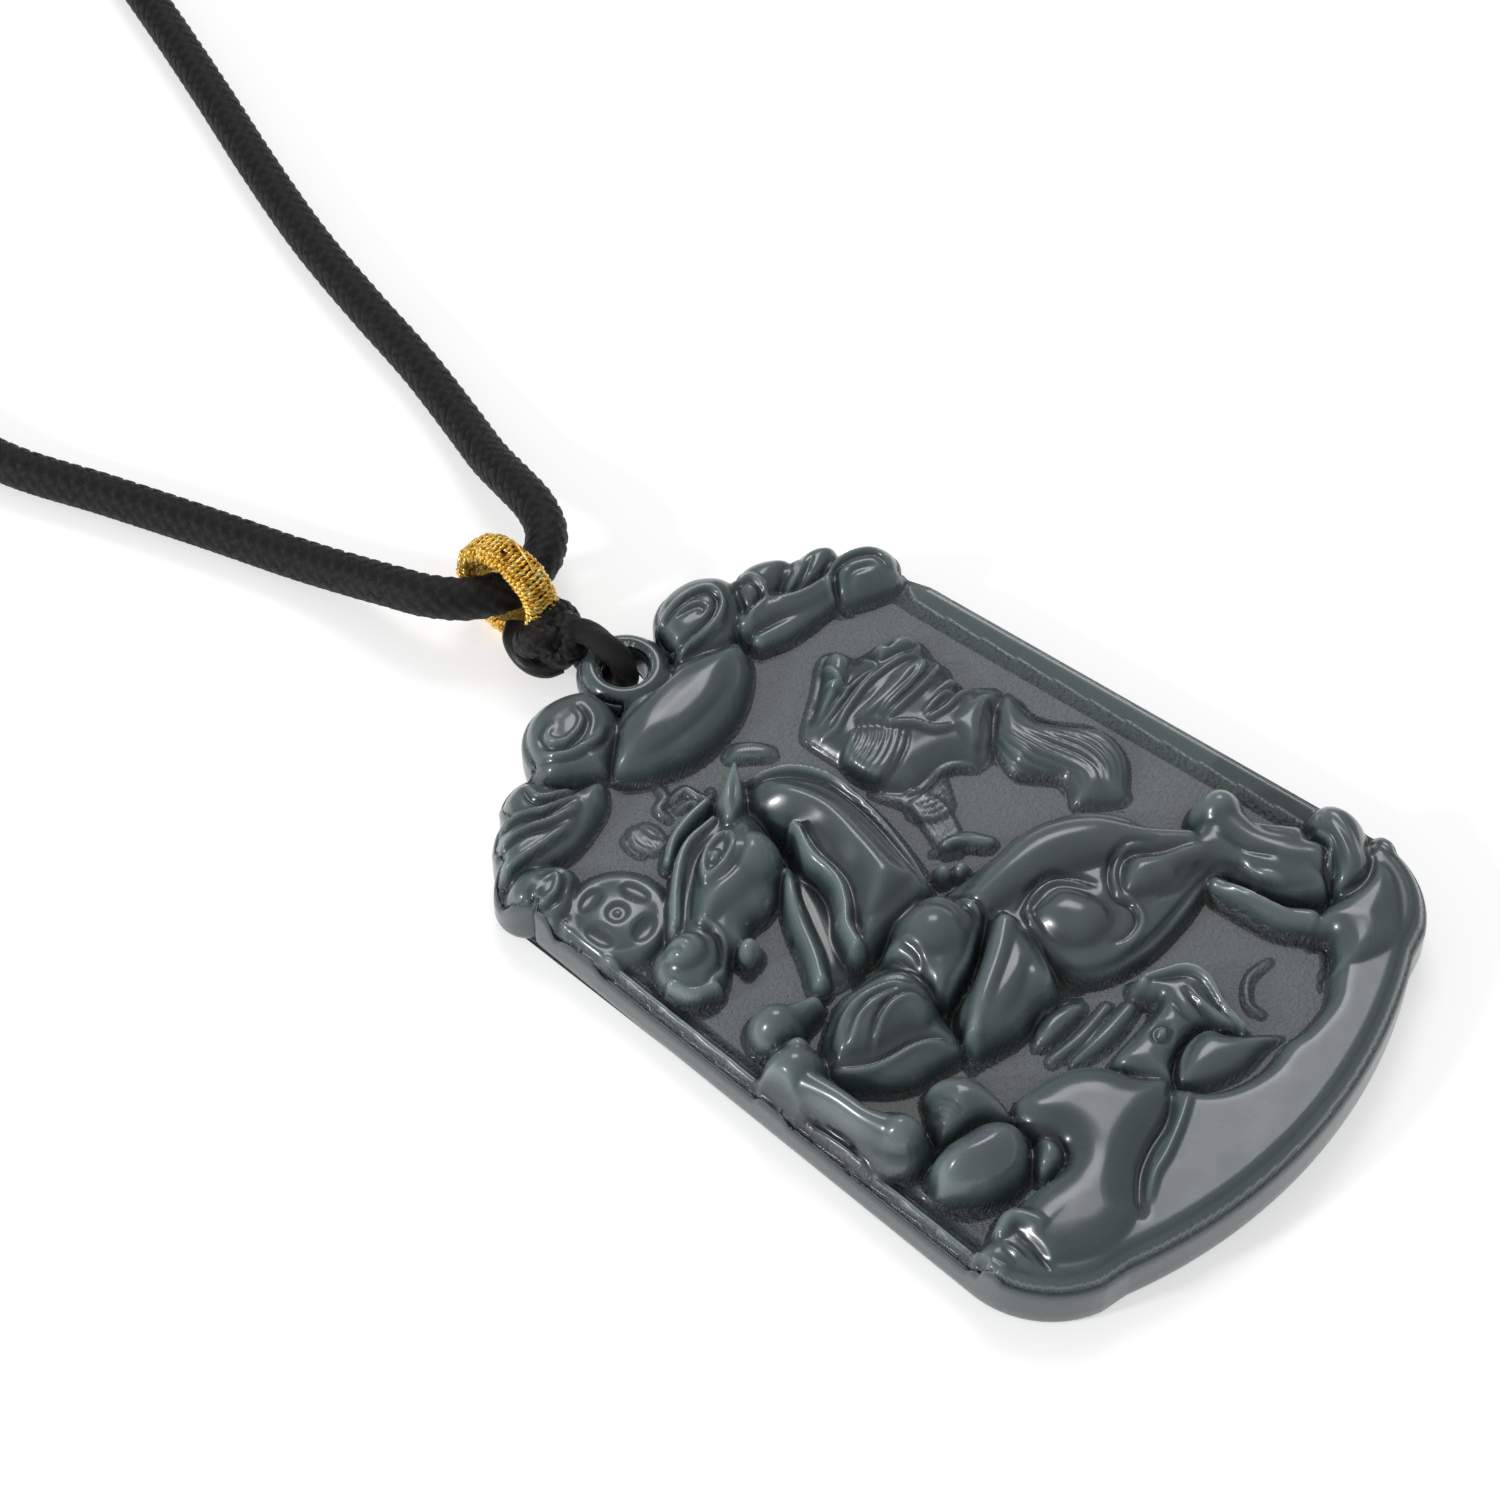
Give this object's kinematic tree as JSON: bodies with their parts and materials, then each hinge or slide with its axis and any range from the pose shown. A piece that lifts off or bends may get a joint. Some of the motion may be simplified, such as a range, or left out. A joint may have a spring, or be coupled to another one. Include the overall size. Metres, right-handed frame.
{
  "type": "carved stone pendant on a neck cord",
  "caption": "Flat carved stone plaque with horses in relief, hung by a thin cord loop and a gold-wound ring from a black braided neck cord.",
  "frame": {"origin": "middle of the plaque's flat back face", "axes": "+Y along the plaque towards its hanging hole and the neck cord, +Z out of its carved face, +X to the right seen from the carved side with the hole at the top"},
  "size_m": [0.0633, 0.1834, 0.008],
  "materials": {
    "jade": "gloss",
    "loop_cord": "satin",
    "knot_cord": "matte",
    "satin": "satin",
    "core_cord": "matte",
    "gold_thread": "gloss",
    "braid": "satin"
  },
  "bodies": {
    "pendant": {"jade_plaque": "jade"},
    "loop": {"hanger_loop": "loop_cord"},
    "hanger": {"hanger_knot": "knot_cord", "satin_strand": "satin", "ring_core": "core_cord", "gold_winding": "gold_thread"},
    "neck_cord": {"neck_cord": "braid", "neck_coil": "braid", "closing_knot": "braid"}
  },
  "joints": [
    {"name": "hanger_sway", "type": "hinge", "parent": "pendant", "child": "loop", "pos_m": [0, 0.0268, 0.00335], "axis": [0, 0, 1], "range_deg": [-20, 20]},
    {"name": "hanger_tilt", "type": "hinge", "parent": "loop", "child": "hanger", "pos_m": [0, 0.0292, 0.00335], "axis": [1, 0, 0], "range_deg": [-60, 90]},
    {"name": "neck_swing", "type": "hinge", "parent": "hanger", "child": "neck_cord", "pos_m": [-0.0002, 0.0372, 0.00405], "axis": [1, 0, 0], "range_deg": [-90, 90]}
  ]
}
